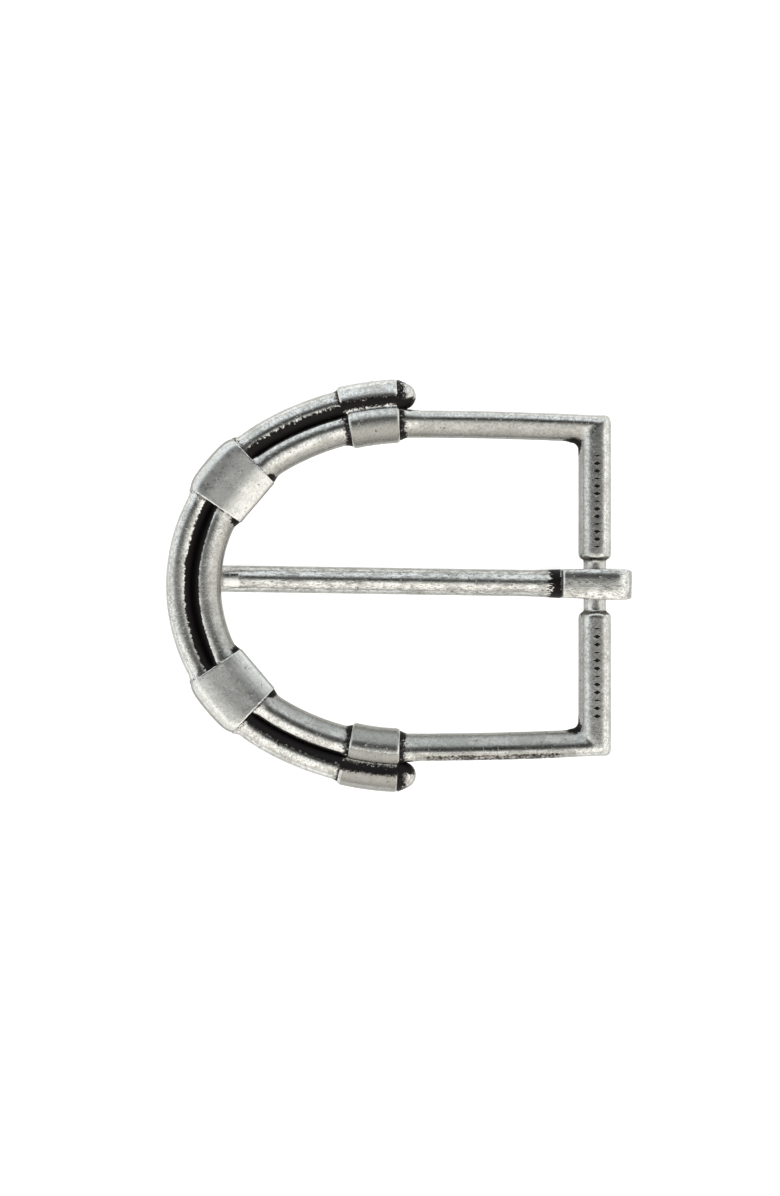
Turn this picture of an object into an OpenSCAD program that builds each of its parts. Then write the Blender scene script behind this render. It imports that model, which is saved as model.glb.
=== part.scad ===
// Dress belt buckle for a 35 mm strap, in millimetres.
// A rod loop with a plain heel bar, a second rod laid round the outside of its bow,
// four metal wraps that bind the two rods, and a tongue whose hooked end turns on
// the bar's neck.
// Frame: the origin is on the heel bar's axis at mid width. X runs from the bow to
// the bar, Y along the bar, and Z out of the wearer's side.

/* [Strap and size] */
// width of the strap the buckle is made for
strap_w = 35; // [25:0.5:45]
// free space between the strap and each arm
strap_gap = 0.5; // [0.3:0.1:1]
// distance from the heel bar's axis to the outside of the bow
bow_reach = 54.1; // [44:0.1:66]
// radius of the bow as a share of the frame's half width
bow_share = 0.914; // [0.86:0.002:0.93]
// length of the shoulder from its widest point to the start of the bow
shoulder_run = 6.5; // [5.5:0.1:8]
// how far each arm swells outward at its widest point
arm_swell = 0.6; // [0.3:0.05:1.2]

/* [Rods] */
// diameter of the inner rod that makes the loop
rod_d = 3.5; // [2.8:0.1:4.5]
// diameter of the outer rod laid round the bow
rail_d = 3.5; // [2.8:0.1:4.5]
// gap between the two rods, and between a rod and a wrap's bore
rod_gap = 0.03; // [0.02:0.01:0.06]
// length of outer rod that shows past each end cuff
stub_len = 2.2; // [1:0.1:3]

/* [Wraps] */
// angle from the bow's middle to the centre of each bow band
band_angle = 40.4; // [30:0.2:50]
// length of a bow band along its inner edge
band_len_in = 6.6; // [4:0.1:9]
// length of a bow band along its outer edge
band_len_out = 8.3; // [5:0.1:11]
// metal of a bow band outside the outer rod
band_wall_out = 0.6; // [0.4:0.05:1]
// metal of a bow band inside the inner rod
band_wall_in = 0.75; // [0.6:0.05:1.2]
// metal of a bow band above and below the rods
band_wall_top = 0.3; // [0.2:0.05:0.8]
// bevel along the outer edges of a bow band
band_bevel = 1.1; // [0.6:0.05:1.2]
// bevel along the inner edges of a bow band
band_bevel_in = 0.45; // [0.2:0.05:0.6]
// distance of an end cuff from the widest point of the frame
cuff_start = 0.9; // [0.5:0.1:2]
// length of an end cuff along the rods
cuff_len = 6.7; // [4:0.1:8]
// metal of an end cuff round each rod
cuff_wall = 0.4; // [0.3:0.05:0.8]
// depth of the valley between the two lobes of a cuff, from their crests
cuff_valley = 0.9; // [0.4:0.05:1.2]

/* [Heel bar] */
// diameter of the heel bar
bar_d = 4.2; // [3.6:0.1:5]
// depth of the flat along the wearer's side of the bar
bar_flat = 0.15; // [0.05:0.01:0.3]
// bevel round each end of the bar
bar_bevel = 0.8; // [0.3:0.05:1]
// radius of the fillet between an arm and the bar
corner_r = 1.4; // [0.8:0.1:2]
// diameter of the neck the tongue turns on
neck_d = 2.9; // [2.4:0.1:3.2]
// bevel at each shoulder beside the neck
shoulder_bevel = 0.5; // [0.2:0.05:0.6]
// free space between the tongue's eye and each shoulder
side_play = 1.3; // [0.3:0.1:2]

/* [Tongue] */
// diameter of the tongue's shank
shank_d = 3.4; // [2.6:0.1:4]
// width of the tongue's eye along the bar
eye_w = 4.1; // [3.4:0.1:5]
// radial gap between the eye and the neck
eye_gap = 0.08; // [0.03:0.01:0.1]
// metal of the eye over the neck
eye_wall_top = 1.75; // [1.2:0.05:2.5]
// metal of the eye behind the neck
eye_wall_back = 3.1; // [2:0.1:3.6]
// metal of the hook in front of the neck
hook_wall = 2.6; // [1.6:0.1:3]
// slit left between the hook's end and the shank
hook_slit = 0.7; // [0.4:0.1:1.2]
// length over which the shank widens into the eye
flare_len = 4; // [2:0.5:8]
// depth of the seat cut where the tongue rests under the bow
seat_depth = 0.15; // [0.05:0.01:0.4]
// gap between the seat and the bow at rest
seat_gap = 0.05; // [0.02:0.01:0.1]
// length of the seat that shows inside the bow
seat_show = 2.1; // [1:0.1:4]
// how far the tongue's tip stops short of the bow's outer face
tip_short = 2.5; // [1:0.1:5]
// sideways lean of the resting tongue in its loose eye, in degrees
tongue_lean = 0.87; // [0:0.01:1]
// sideways shift of the resting tongue along the neck
tongue_shift = 0.2; // [0:0.05:0.25]

/* [Hidden] */
$fn = 64;
eps = 0.01;
// shoulder arcs lap the arcs they continue by this angle, and are this much fatter,
// so that each lap closes on a clean step too small to see or feel
lap = 0.3;
lap_step = 0.01;
rod_r = rod_d / 2;
rail_r = rail_d / 2;
// half width of the frame at the bar's axis and at its widest point, on the rod's centre
bar_y = strap_w / 2 + strap_gap + rod_r;
wide_y = bar_y + arm_swell;
// distance between the two rods' centres
rod_pitch = rod_r + rod_gap + rail_r;
// the bow: an arc about (bow_x, 0)
bow_r = bow_share * wide_y;
bow_x = -(bow_reach - rail_r - rod_pitch - bow_r);
// the shoulder: an arc tangent to the bow and level at the widest point
wide_x = bow_x + shoulder_run;
sh_r = (pow(shoulder_run, 2) + pow(wide_y, 2) - pow(bow_r, 2)) / (2 * (wide_y - bow_r));
sh_y = wide_y - sh_r;
sh_angle = asin(shoulder_run / (sh_r - bow_r));
// the arm: a very slack arc from the widest point to the bar's axis
arm_r = (pow(wide_x, 2) + pow(arm_swell, 2)) / (2 * arm_swell);
arm_y = wide_y - arm_r;
arm_angle = asin(-wide_x / arm_r);
// cuffs and the outer rod's ends, as angles round the shoulder's centre
pair_r = sh_r + rod_pitch / 2;
cuff_a0 = cuff_start / pair_r * 180 / PI;
cuff_a1 = (cuff_start + cuff_len) / pair_r * 180 / PI;
stub_a = cuff_a0 - (stub_len - rail_r) / pair_r * 180 / PI;
// the heel bar
bar_r = bar_d / 2;
bar_end = bar_y + rod_r + 0.05;
neck_r = neck_d / 2;
neck_half = eye_w / 2 + side_play;
// the tongue
eye_r = neck_r + eye_gap;
shank_r = shank_d / 2;
seat_z = -(rod_r + seat_gap);
seat_in_x = bow_x - bow_r + rod_r + seat_show;
tip_x = -(bow_reach - tip_short);
// the shank's axis at the seat, and at the eye, where it passes under the neck
shank_z_seat = seat_z - shank_r + seat_depth;
shank_z_eye = -(eye_r + eye_w / 2 - 0.75);
eye_bottom = shank_z_eye - eye_w / 2;
hook_x = -(eye_r + hook_wall);
back_x = eye_r + eye_wall_back;
eye_top = eye_r + eye_wall_top;
slit_z = shank_z_eye + shank_r;

// an arc of round rod in the XY plane about (cx, cy)
module rod_arc(cx, cy, radius, r, from, sweep)
{
    translate([cx, cy, 0])
        rotate_extrude(angle = sweep, start = from)
            translate([radius, 0])
                circle(r = r);
}

// a copy on each side of the buckle's middle line
module both_sides()
{
    children();
    mirror([0, 1, 0])
        children();
}

// the two rods' paths in one wrap's stretch of the shoulder, as bores
module cuff_bores()
{
    for (offset_r = [0, rod_pitch])
        rod_arc(wide_x, sh_y, sh_r + offset_r, (offset_r == 0 ? rod_r : rail_r) + rod_gap,
                90 + cuff_a0 - 2, cuff_a1 - cuff_a0 + 4);
}

// the loop that carries the strap: bow, shoulders, arms and heel bar
module frame_loop()
{
    color([0.72, 0.72, 0.70])
    difference()
    {
        union()
        {
            rod_arc(bow_x, 0, bow_r, rod_r, 90 + sh_angle, 180 - 2 * sh_angle);
            both_sides()
            {
                rod_arc(wide_x, sh_y, sh_r, rod_r + lap_step, 90 - lap, sh_angle + 2 * lap);
                rod_arc(wide_x, arm_y, arm_r, rod_r, 90 - arm_angle, arm_angle);
                bar_half();
                corner_fillet();
            }
            rotate([90, 0, 0])
                cylinder(r = neck_r, h = 2 * neck_half + 1, center = true);
        }
        // the flat along the bar
        translate([-bar_r, -bar_end - 1, bar_r - bar_flat])
            cube([2 * bar_r, 2 * bar_end + 2, 2]);
    }
}

// half of the heel bar, from the shoulder beside the neck to the frame's corner
module bar_half()
{
    rotate([-90, 0, 0])
        rotate_extrude()
            polygon([
                [0, neck_half],
                [bar_r - shoulder_bevel, neck_half],
                [bar_r, neck_half + shoulder_bevel],
                [bar_r, bar_end - bar_bevel],
                [bar_r - bar_bevel, bar_end],
                [0, bar_end]
            ]);
}

// the small web that softens the inside corner between an arm and the bar
module corner_fillet()
{
    translate([-bar_r - corner_r + 0.1, bar_y - rod_r - corner_r + 0.1, -rod_r / 2])
        difference()
        {
            cube([corner_r + 0.6, corner_r + 0.6, rod_r]);
            translate([0, 0, -1])
                cylinder(r = corner_r, h = rod_r + 2);
        }
}

// the second rod, laid round the outside of the bow and shoulders
module outer_rail()
{
    color([0.66, 0.66, 0.64])
    union()
    {
        rod_arc(bow_x, 0, bow_r + rod_pitch, rail_r, 90 + sh_angle, 180 - 2 * sh_angle);
        both_sides()
        {
            rod_arc(wide_x, sh_y, sh_r + rod_pitch, rail_r + lap_step, 90 + stub_a,
                    sh_angle - stub_a + lap);
            translate([wide_x, sh_y, 0])
                rotate([0, 0, 90 + stub_a])
                    translate([sh_r + rod_pitch, 0.05, 0])
                        sphere(r = rail_r);
        }
    }
}

// one bow band about its own radial line, which is laid along +X here
module bow_band()
{
    inner = bow_r - rod_r - rod_gap - band_wall_in;
    outer = bow_r + rod_pitch + rail_r + band_wall_out;
    half_z = max(rod_r, rail_r) + rod_gap + band_wall_top;
    difference()
    {
        intersection()
        {
            // the ring the band is cut from, bevelled along its outer edges
            rotate_extrude(angle = 60, start = -30)
                polygon([
                    [inner - 3, -half_z],
                    [outer - band_bevel, -half_z],
                    [outer, -half_z + band_bevel],
                    [outer, half_z - band_bevel],
                    [outer - band_bevel, half_z],
                    [inner - 3, half_z]
                ]);
            // its plan: a straight inner edge and ends that splay outward
            translate([0, 0, -half_z - 1])
                linear_extrude(2 * half_z + 2)
                    polygon([
                        [inner, -band_len_in / 2],
                        [outer + 1, -band_len_out / 2],
                        [outer + 1, band_len_out / 2],
                        [inner, band_len_in / 2]
                    ]);
            // its section, bevelled along its inner edges
            rotate([90, 0, 0])
                translate([0, 0, -band_len_out])
                    linear_extrude(2 * band_len_out)
                        polygon([
                            [inner, -half_z + band_bevel_in],
                            [inner + band_bevel_in, -half_z],
                            [outer + 2, -half_z],
                            [outer + 2, half_z],
                            [inner + band_bevel_in, half_z],
                            [inner, half_z - band_bevel_in]
                        ]);
        }
        rod_arc(0, 0, bow_r, rod_r + rod_gap, -25, 50);
        rod_arc(0, 0, bow_r + rod_pitch, rail_r + rod_gap, -25, 50);
    }
}

module band_upper()
{
    color([0.78, 0.78, 0.75])
    translate([bow_x, 0, 0])
        rotate([0, 0, 180 - band_angle])
            bow_band();
}

module band_lower()
{
    color([0.78, 0.78, 0.75])
    translate([bow_x, 0, 0])
        rotate([0, 0, 180 + band_angle])
            bow_band();
}

// one end cuff: a lobe round each rod and a valley between them
module end_cuff()
{
    rod_lobe = rod_r + cuff_wall;
    rail_lobe = rail_r + cuff_wall;
    valley = min(rod_lobe, rail_lobe) - cuff_valley;
    difference()
    {
        translate([wide_x, sh_y, 0])
            rotate_extrude(angle = cuff_a1 - cuff_a0, start = 90 + cuff_a0)
                union()
                {
                    translate([sh_r, 0])
                        circle(r = rod_lobe);
                    translate([sh_r + rod_pitch, 0])
                        circle(r = rail_lobe);
                    translate([sh_r, -valley])
                        square([rod_pitch, 2 * valley]);
                }
        cuff_bores();
    }
}

module cuff_upper()
{
    color([0.75, 0.75, 0.72])
    end_cuff();
}

module cuff_lower()
{
    color([0.75, 0.75, 0.72])
    mirror([0, 1, 0])
        end_cuff();
}

// the shank, from under the neck to the rounded tip
module shank()
{
    fall = atan((shank_z_eye - shank_z_seat) / (seat_in_x - hook_x) * -1);
    length = (hook_x - tip_x) - shank_r;
    translate([hook_x, 0, shank_z_eye])
        rotate([0, -90 - fall, 0])
        {
            translate([0, 0, -2])
                cylinder(r = shank_r, h = length + 2);
            translate([0, 0, length])
                sphere(r = shank_r);
            cylinder(r1 = eye_w / 2, r2 = shank_r, h = flare_len);
        }
}

// side outline of the eye with its rounded corners
module eye_outline()
{
    r_back = 1.8;
    r_hook = 1.2;
    union()
    {
        translate([hook_x + r_hook, eye_bottom])
            square([back_x - hook_x - r_hook - r_back, eye_top - eye_bottom]);
        translate([hook_x, eye_bottom])
            square([back_x - hook_x, eye_top - eye_bottom - r_back]);
        translate([hook_x + r_hook, eye_top - r_hook])
            circle(r = r_hook);
        translate([back_x - r_back, eye_top - r_back])
            circle(r = r_back);
    }
}

// the tongue: eye, hook, flare, shank and seat, with its bore on the bar's axis
module tongue()
{
    color([0.70, 0.71, 0.70])
    difference()
    {
        translate([0, tongue_shift, 0])
            rotate([0, 0, -tongue_lean])
                union()
                {
                    shank();
                    rotate([90, 0, 0])
                        linear_extrude(eye_w, center = true)
                            eye_outline();
                }
        rotate([90, 0, 0])
            cylinder(r = eye_r, h = 3 * eye_w, center = true);
        // the slit between the hook's end and the shank
        translate([hook_x - 1, -eye_w, slit_z])
            cube([1 - hook_x, 2 * eye_w, hook_slit]);
        // the seat under the bow
        translate([tip_x - shank_d, -shank_d, seat_z])
            cube([seat_in_x - tip_x + shank_d, 2 * shank_d, shank_d]);
    }
}

frame_loop();
outer_rail();
band_upper();
band_lower();
cuff_upper();
cuff_lower();
tongue();
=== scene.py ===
# %% [markdown]
# # A dress belt buckle
# This notebook builds the outside of a belt buckle over its CAD frame: a round rod loop,
# a second rod laid round the bow, four metal wraps, and a tongue hooked over the heel bar.
# The real one is brass, cast or bent, then silver plated, blackened, and rubbed back, so
# that black stays in the grooves and the crests shine.
# The first cell loads the CAD model. Every later piece takes its place from that frame.

# %% Load the frame
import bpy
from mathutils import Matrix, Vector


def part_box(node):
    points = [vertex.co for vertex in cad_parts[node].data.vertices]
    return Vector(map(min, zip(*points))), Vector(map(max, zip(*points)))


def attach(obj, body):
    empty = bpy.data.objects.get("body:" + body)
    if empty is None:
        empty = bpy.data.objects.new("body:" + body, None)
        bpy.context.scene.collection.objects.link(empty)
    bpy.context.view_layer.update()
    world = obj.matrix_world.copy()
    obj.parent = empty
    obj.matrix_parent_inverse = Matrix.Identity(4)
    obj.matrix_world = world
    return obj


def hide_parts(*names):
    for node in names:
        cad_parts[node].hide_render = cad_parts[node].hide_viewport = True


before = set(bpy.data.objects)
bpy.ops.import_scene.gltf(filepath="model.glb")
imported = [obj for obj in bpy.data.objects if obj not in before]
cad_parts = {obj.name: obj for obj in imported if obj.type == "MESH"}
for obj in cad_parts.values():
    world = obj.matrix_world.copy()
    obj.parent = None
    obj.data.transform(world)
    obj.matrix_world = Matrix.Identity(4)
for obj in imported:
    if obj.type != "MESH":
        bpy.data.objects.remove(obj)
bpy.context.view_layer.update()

# %% [markdown]
# ## Camera
# The buckle lies flat and is seen from straight above, from well away, so that its two
# arms look parallel. A long lens far off does that. The camera goes in first, because the
# framing is a decision about the whole picture and no piece depends on it.

# %% Camera
import math
import bmesh
import bpy
from mathutils import Matrix, Vector, noise
from mathutils.bvhtree import BVHTree

VIEW_TALL = 150.7  # millimetres of table from the bottom to the top of the picture
VIEW_CENTRE = (-25.8, -1.55)
lens = bpy.data.cameras.new("table_camera")
lens.lens = 120.0
lens.sensor_width = 36.0
lens.sensor_fit = "AUTO"
camera = bpy.data.objects.new("table_camera", lens)
bpy.context.scene.collection.objects.link(camera)
stand_off = lens.lens / lens.sensor_width * VIEW_TALL
camera.location = (VIEW_CENTRE[0] / 1000, VIEW_CENTRE[1] / 1000, stand_off / 1000)
bpy.context.scene.camera = camera
print("camera stands off", round(stand_off), "mm")

# %% [markdown]
# ## The drawing
# A smith works from a drawing, and so does this script. The rods follow three arcs on each
# side: a tight bow, a slacker shoulder and an almost straight arm. Each arc leaves the last
# one without a kink, so one radius fixes the next. The sizes are in millimetres, and the
# outline is checked against the boxes of the CAD nodes.

# %% The drawing
loop_lo, loop_hi = [Vector(c) * 1000 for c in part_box("frame_loop")]
rail_lo, rail_hi = [Vector(c) * 1000 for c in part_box("outer_rail")]
tongue_lo, tongue_hi = [Vector(c) * 1000 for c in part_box("tongue")]

rod_r = 1.75
rod_pitch = 3.53
wide_y = loop_hi.y - rod_r - 0.01
bow_r = 0.914 * wide_y
bow_x = rail_lo.x + rod_r + rod_pitch + bow_r
shoulder_run = 6.5
wide_x = bow_x + shoulder_run
shoulder_r = (shoulder_run**2 + wide_y**2 - bow_r**2) / (2 * (wide_y - bow_r))
shoulder_y = wide_y - shoulder_r
shoulder_turn = math.asin(shoulder_run / (shoulder_r - bow_r))
arm_swell = 0.6
arm_r = (wide_x**2 + arm_swell**2) / (2 * arm_swell)
arm_y = wide_y - arm_r
arm_turn = math.asin(-wide_x / arm_r)
bar_y = wide_y - arm_swell
bar_r = loop_hi.x
bar_end = bar_y + rod_r + 0.05
bow_centre = Vector((bow_x, 0, 0))
shoulder_centre = Vector((wide_x, shoulder_y, 0))
arm_centre = Vector((wide_x, arm_y, 0))
print("bow radius %.2f, shoulder %.2f, arm %.0f, bar at %.2f" % (bow_r, shoulder_r, arm_r, bar_y))
print("bow reaches", round(bow_x - bow_r - rod_pitch - rod_r, 2), "CAD", round(rail_lo.x, 2))

# %% Reading a point against the drawing
cuff_from = 0.9 / (shoulder_r + rod_pitch / 2)
cuff_to = 7.6 / (shoulder_r + rod_pitch / 2)
band_angle = math.radians(40.4)
BAND_IN = bow_r - rod_r - 0.78
BAND_OUT = bow_r + rod_pitch + rod_r + 0.6


def ease(low, high, value):
    """0 at low, 1 at high, smooth between. low may be the larger."""
    t = min(1.0, max(0.0, (value - low) / (high - low)))
    return t * t * (3 - 2 * t)


def from_line(p):
    """How far a point lies outside the inner rod's middle line, and the way outward there."""
    y = abs(p.y)
    if p.x >= wide_x:
        centre, reach = Vector((wide_x, arm_y)), arm_r
    elif math.atan2(wide_x - p.x, y - shoulder_y) <= shoulder_turn:
        centre, reach = Vector((wide_x, shoulder_y)), shoulder_r
    else:
        centre, reach = Vector((bow_x, 0)), bow_r
    arm = Vector((p.x, y)) - centre
    out = Vector((arm.x, math.copysign(arm.y, arm.y * p.y) if p.y else arm.y, 0)).normalized()
    return arm.length - reach, out


def from_nose(p):
    """The angle round the bow, 0 at its nose."""
    return math.atan2(abs(p.y), bow_x - p.x)


def opened(p):
    """0 at the nose, 1 past the bands, where the groove stands wide open."""
    return ease(math.radians(15), math.radians(50), from_nose(p))


def past_band(p):
    """Distance along the bow beyond the nearest end of a band, negative under it."""
    reach = Vector((p.x - bow_x, p.y)).length
    t = (reach - BAND_IN) / (BAND_OUT - BAND_IN)
    return abs(reach * math.sin(from_nose(p) - band_angle)) - (3.3 + 0.85 * t)


def past_cuff(p):
    """Distance along the shoulder beyond the nearest end of a cuff, negative under it."""
    angle = math.atan2(wide_x - p.x, abs(p.y) - shoulder_y)
    return max(cuff_from - angle, angle - cuff_to) * (shoulder_r + rod_pitch / 2)


print("groove open at the cuffs:", opened(Vector((wide_x, wide_y, 0))))

# %% [markdown]
# ## Working metal with operators
# Most of the buckle is round bar, so two small tools do most of the work. One stands a ring
# across a path and spins it along an arc, as a bender draws bar round a former. The other
# grows a ring station by station, as a lathe turns a shoulder or a neck.

# %% Tools for round bar
RING = 56


def stand_ring(bm, centre, reach, angle, radius, across=1.0):
    """A ring standing across an arc about centre, at that angle. Its edges are returned."""
    place = (
        Matrix.Translation(centre)
        @ Matrix.Rotation(angle, 4, "Z")
        @ Matrix.Translation((reach, 0, 0))
        @ Matrix.Rotation(math.pi / 2, 4, "X")
        @ Matrix.Diagonal((1.0, across, 1.0, 1.0))
    )
    made = bmesh.ops.create_circle(bm, cap_ends=False, radius=radius, segments=RING, matrix=place)
    return list({e for v in made["verts"] for e in v.link_edges})


def bend_round(bm, ring, centre, reach, turn, step=0.35):
    """Spins the ring about centre, in steps of about that length. The last ring is returned."""
    steps = max(2, round(abs(turn) * reach / step))
    spun = bmesh.ops.spin(bm, geom=ring, cent=centre, axis=(0, 0, 1), angle=turn, steps=steps)
    return [g for g in spun["geom_last"] if isinstance(g, bmesh.types.BMEdge)]


def grow(bm, ring, move=(0, 0, 0), scale=1.0):
    """Extrudes the ring, moves it and scales it about its own middle."""
    made = bmesh.ops.extrude_edge_only(bm, edges=ring)["geom"]
    verts = [g for g in made if isinstance(g, bmesh.types.BMVert)]
    middle = sum((v.co for v in verts), Vector()) / len(verts)
    bmesh.ops.translate(bm, vec=Vector(move), verts=verts)
    grown = scale if isinstance(scale, tuple) else (scale, scale, scale)
    space = Matrix.Translation(-(middle + Vector(move)))
    bmesh.ops.scale(bm, vec=grown, space=space, verts=verts)
    return [g for g in made if isinstance(g, bmesh.types.BMEdge)]


def dome(bm, ring, outward, radius, flat=1.0):
    """Closes the ring with a rounded end that stands out by radius times flat."""
    done = 0.0
    size = 1.0
    for k in range(1, 9):
        tilt = k / 8.5 * math.pi / 2
        rise = math.sin(tilt) * radius * flat
        ring = grow(bm, ring, outward * (rise - done), math.cos(tilt) / size)
        done, size = rise, math.cos(tilt)
    bmesh.ops.contextual_create(bm, geom=ring)


def lathe(bm, stations):
    """Turns a bar along Y from (distance, radius) stations, closed at both ends."""
    (y0, r0), rest = stations[0], stations[1:]
    place = Matrix.Translation((0, y0, 0)) @ Matrix.Rotation(math.pi / 2, 4, "X")
    made = bmesh.ops.create_circle(bm, cap_ends=False, radius=r0, segments=RING, matrix=place)
    ring = list({e for v in made["verts"] for e in v.link_edges})
    bmesh.ops.contextual_create(bm, geom=ring)
    for y1, r1 in rest:
        ring = grow(bm, ring, (0, y1 - y0, 0), r1 / r0)
        y0, r0 = y1, r1
    bmesh.ops.contextual_create(bm, geom=ring)


# %% [markdown]
# ## From a rough form to a casting
# A casting has no knife edges: where bars meet there is a soft fillet, and every corner is
# slightly round. The closed forms are therefore made one skin with a voxel remesh, which
# is like pouring the mould, and a few rounds of smooth_vert tumble it. The forms are made
# in millimetres, and the finished skin is scaled to metres at the end.

# %% Tools for casting
def as_object(bm, name):
    """Turns a bmesh into a linked object."""
    bmesh.ops.remove_doubles(bm, verts=bm.verts[:], dist=1e-4)
    bmesh.ops.recalc_face_normals(bm, faces=bm.faces[:])
    mesh = bpy.data.meshes.new(name)
    bm.to_mesh(mesh)
    bm.free()
    made = bpy.data.objects.new(name, mesh)
    bpy.context.scene.collection.objects.link(made)
    return made


def settle(obj):
    """Applies the object's modifiers and returns it."""
    shaped = bpy.data.meshes.new_from_object(
        obj.evaluated_get(bpy.context.evaluated_depsgraph_get())
    )
    old = obj.data
    obj.modifiers.clear()
    obj.data = shaped
    bpy.data.meshes.remove(old)
    return obj


def cut_away(obj, *tools):
    """Cuts the tools' shapes out of the object, and throws the tools away."""
    for tool in tools:
        cut = obj.modifiers.new("cut", "BOOLEAN")
        cut.operation, cut.solver, cut.object = "DIFFERENCE", "MANIFOLD", tool
    settle(obj)
    for tool in tools:
        mesh = tool.data
        bpy.data.objects.remove(tool)
        bpy.data.meshes.remove(mesh)
    return obj


def pour(obj, grain, tumble):
    """One skin from all the closed forms: a voxel remesh, then rounds of smoothing."""
    skin = obj.modifiers.new("pour", "REMESH")
    skin.mode, skin.voxel_size, skin.adaptivity = "VOXEL", grain, 0.0
    settle(obj)
    bm = bmesh.new()
    bm.from_mesh(obj.data)
    for _ in range(tumble):
        bmesh.ops.smooth_vert(
            bm, verts=bm.verts[:], factor=0.5, use_axis_x=True, use_axis_y=True, use_axis_z=True
        )
    bmesh.ops.recalc_face_normals(bm, faces=bm.faces[:])
    bm.to_mesh(obj.data)
    bm.free()
    print(obj.name, "poured with", len(obj.data.polygons), "faces")
    return obj


# %% [markdown]
# ## The loop
# The loop is one round bar: arm, shoulder, bow, shoulder, arm. The ring is stood across the
# upper arm's end and bent round five arcs in turn. It could be a curve with a bevel, but
# spins give true arcs that agree with the CAD everywhere.

# %% The loop's bar
loop = bmesh.new()
quarter = math.pi / 2
ring = stand_ring(loop, arm_centre, arm_r, quarter - arm_turn, rod_r)
bmesh.ops.contextual_create(loop, geom=ring)
ring = bend_round(loop, ring, arm_centre, arm_r, arm_turn)
ring = bend_round(loop, ring, shoulder_centre, shoulder_r, shoulder_turn)
ring = bend_round(loop, ring, bow_centre, bow_r, math.pi - 2 * shoulder_turn)
ring = bend_round(loop, ring, Vector((wide_x, -shoulder_y, 0)), shoulder_r, shoulder_turn)
ring = bend_round(loop, ring, Vector((wide_x, -arm_y, 0)), arm_r, arm_turn)
bmesh.ops.contextual_create(loop, geom=ring)
print("loop bar:", len(loop.verts), "vertices")

# %% [markdown]
# ## A filed section
# Nothing on a hand finished buckle stays truly round. The rods are filed, so that the crest
# lies toward the outside and the inner flank is a long gentle slope. Beside the groove the
# inner rod has a thin lip. Next to each wrap the metal swells a little, as solder does. All
# of this is done by sliding the vertices of each ring outward or inward, before casting.

# %% File the section
def file_section(bm, line_at, crest, lip):
    """Slides a rod's crest outward, draws out its lip and swells it beside the wraps."""
    for v in bm.verts:
        away, out = from_line(v.co)
        away -= line_at
        high = v.co.z / rod_r
        spread = opened(v.co)
        slide = (crest[0] + (crest[1] - crest[0]) * spread) * high**2 * rod_r
        if away > 0 and lip:
            bend = min(1.0, abs(high))
            slide += lip * spread * (4 * bend**2 * (1 - bend**2)) * ease(wide_x + 2.5, wide_x, v.co.x)
        past = min(past_band(v.co), past_cuff(v.co))
        swell = 0.24 * max(0.0, 1 - max(0.0, past) / 1.1) ** 2 * ease(-0.6, -0.1, past)
        raised = 0.09 * ease(-7, -2, v.co.x)  # the arm rises to meet the heel bar's flat
        v.co.z *= 1 + swell * 0.25 + raised
        v.co += out * (slide + away * swell)


file_section(loop, 0.0, (0.31, 0.31), 0.28)
strip = stand_ring(loop, shoulder_centre, shoulder_r + 1.55, quarter + cuff_from + 0.02, 0.6)
bmesh.ops.contextual_create(loop, geom=strip)
strip = bend_round(loop, strip, shoulder_centre, shoulder_r, shoulder_turn - cuff_from - 0.02)
strip = bend_round(loop, strip, bow_centre, bow_r, math.pi - 2 * shoulder_turn)
strip = bend_round(
    loop, strip, Vector((wide_x, -shoulder_y, 0)), shoulder_r, shoulder_turn - cuff_from - 0.02
)
bmesh.ops.contextual_create(loop, geom=strip)
print("loop filed, seam filled:", len(loop.verts), "vertices")

# %% [markdown]
# ## The heel bar
# The belt is sewn round the heel bar, and the tongue turns on the thin neck in its middle.
# A lathe gives its rounded ends, its shoulders and the neck. The side that faces the wearer
# is filed to a narrow flat, done here by pulling the crest's vertices down to one height.
# A small web in each inside corner becomes the fillet between arm and bar.

# %% The heel bar
neck_r = 1.45
neck_half = 3.35
flat_z = loop_hi.z if loop_hi.z < bar_r else bar_r - 0.15
bevel = 0.9
shoulder = 0.55
half_bar = [(neck_half, bar_r - shoulder)]
half_bar += [
    (neck_half + shoulder * (1 - math.cos(a)), bar_r - shoulder * (1 - math.sin(a)))
    for a in (0.5, 1.0, quarter)
]
half_bar += [(y, bar_r) for y in (7, 11, 15)]
half_bar += [(16 + 0.25 * k, bar_r) for k in range(19)]
half_bar += [
    (bar_end - bevel * (1 - math.sin(a)), bar_r - bevel * (1 - math.cos(a)))
    for a in (0.0, 0.5, 1.0, 1.4)
]
stations = [(-y, r) for y, r in reversed(half_bar)]
stations += [(-neck_half + 0.15, neck_r), (neck_half - 0.15, neck_r)]
stations += half_bar
heel = bmesh.new()
lathe(heel, stations)
FILE_SOFT = 0.06


def arm_height(y):
    """The arm's height above a point y away from the middle line."""
    near = (y - bar_y) / rod_r
    if abs(near) >= 1:
        return 0.0
    tilt = math.asin(near)
    for _ in range(6):  # the crest lies outward, so the angle is found step by step
        tilt = math.asin(max(-1.0, min(1.0, near - 0.31 * math.cos(tilt) ** 2)))
    return 1.09 * rod_r * math.cos(tilt)


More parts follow.
